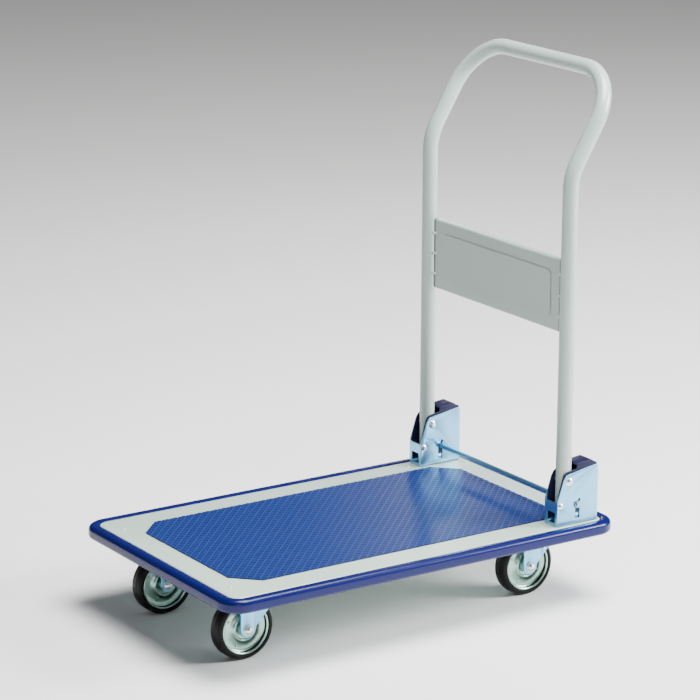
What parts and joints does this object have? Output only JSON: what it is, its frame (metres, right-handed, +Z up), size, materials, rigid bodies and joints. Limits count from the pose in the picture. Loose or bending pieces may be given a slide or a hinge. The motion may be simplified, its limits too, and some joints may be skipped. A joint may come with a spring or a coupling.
{
  "type": "folding platform cart",
  "caption": "Flat steel platform cart with blue mat and edge bumper, four casters and a push handle that folds flat over the deck.",
  "frame": {"origin": "on the floor below the middle of the cart's outline, handle upright", "axes": "+X towards the handle end, +Y to the left side of the cart, +Z up"},
  "size_m": [0.7582, 0.462, 0.8734],
  "materials": {
    "deck_paint": "gloss",
    "underframe_paint": "satin",
    "handle_paint": "gloss",
    "blue_bumper": "gloss",
    "blue_mat": "studded",
    "blue_guard": "satin",
    "zinc_plate": "zinc plated, satin",
    "bright_zinc": "zinc plated, bright",
    "rim_zinc": "zinc plated, bright",
    "fastener_steel": "zinc plated, dull",
    "spring_steel": "bright wire",
    "black_tyre": "satin",
    "bush_nylon": "matte"
  },
  "bodies": {
    "deck": {"deck_plate": "deck_paint", "edge_bumper": "blue_bumper", "top_mat": "blue_mat", "front_channel": "underframe_paint", "rear_channel": "underframe_paint", "spine_channel": "underframe_paint", "corner_rivets": "deck_paint", "bracket_left": "zinc_plate", "bracket_right": "zinc_plate", "guard_left": "blue_guard", "guard_right": "blue_guard", "pivot_pin_left": "bright_zinc", "pivot_pin_right": "bright_zinc", "stop_pin_left": "bright_zinc", "stop_pin_right": "bright_zinc", "bracket_screws": "fastener_steel", "rod_spring_left": "spring_steel", "rod_spring_right": "spring_steel", "rigid_fork_left": "zinc_plate", "rigid_fork_right": "zinc_plate", "swivel_plate_left": "zinc_plate", "swivel_plate_right": "zinc_plate", "kingpin_left": "bright_zinc", "kingpin_right": "bright_zinc", "plate_bolts": "fastener_steel", "axle_front_left": "bright_zinc", "axle_front_right": "bright_zinc"},
    "handle": {"handle_tube": "handle_paint", "handle_panel": "handle_paint", "pivot_bushes": "bush_nylon"},
    "lock_rod": {"lock_rod": "bright_zinc", "rod_clips": "fastener_steel"},
    "fork_left": {"swivel_fork_left": "zinc_plate", "race_balls_left": "bright_zinc", "axle_rear_left": "bright_zinc"},
    "fork_right": {"swivel_fork_right": "zinc_plate", "race_balls_right": "bright_zinc", "axle_rear_right": "bright_zinc"},
    "wheel_front_left": {"tyre_front_left": "black_tyre", "rim_outer_front_left": "rim_zinc", "rim_inner_front_left": "rim_zinc", "hub_front_left": "rim_zinc"},
    "wheel_front_right": {"tyre_front_right": "black_tyre", "rim_outer_front_right": "rim_zinc", "rim_inner_front_right": "rim_zinc", "hub_front_right": "rim_zinc"},
    "wheel_rear_left": {"tyre_rear_left": "black_tyre", "rim_outer_rear_left": "rim_zinc", "rim_inner_rear_left": "rim_zinc", "hub_rear_left": "rim_zinc"},
    "wheel_rear_right": {"tyre_rear_right": "black_tyre", "rim_outer_rear_right": "rim_zinc", "rim_inner_rear_right": "rim_zinc", "hub_rear_right": "rim_zinc"}
  },
  "joints": [
    {"name": "handle_fold", "type": "hinge", "parent": "deck", "child": "handle", "pos_m": [0.27494, 0, 0.209], "axis": [0, -1, 0], "range_deg": [0, 96]},
    {"name": "rod_drop", "type": "slide", "parent": "deck", "child": "lock_rod", "axis": [0, 0, -1], "range_m": [0, 0.0184], "deforming": ["rod_spring_left", "rod_spring_right"]},
    {"name": "swivel_left", "type": "hinge", "parent": "deck", "child": "fork_left", "pos_m": [0.28094, 0.121, 0.114], "axis": [0, 0, 1], "continuous": true},
    {"name": "swivel_right", "type": "hinge", "parent": "deck", "child": "fork_right", "pos_m": [0.28094, -0.121, 0.114], "axis": [0, 0, 1], "continuous": true},
    {"name": "wheel_spin_front_left", "type": "hinge", "parent": "deck", "child": "wheel_front_left", "pos_m": [-0.29106, 0.121, 0.05], "axis": [0, 1, 0], "continuous": true},
    {"name": "wheel_spin_front_right", "type": "hinge", "parent": "deck", "child": "wheel_front_right", "pos_m": [-0.29106, -0.121, 0.05], "axis": [0, 1, 0], "continuous": true},
    {"name": "wheel_spin_rear_left", "type": "hinge", "parent": "fork_left", "child": "wheel_rear_left", "pos_m": [0.25094, 0.121, 0.05], "axis": [0, 1, 0], "continuous": true},
    {"name": "wheel_spin_rear_right", "type": "hinge", "parent": "fork_right", "child": "wheel_rear_right", "pos_m": [0.25094, -0.121, 0.05], "axis": [0, 1, 0], "continuous": true}
  ],
  "couplings": [
    {"joint": "rod_drop", "follows": "handle_fold", "m_per_rad": 0.010981}
  ]
}
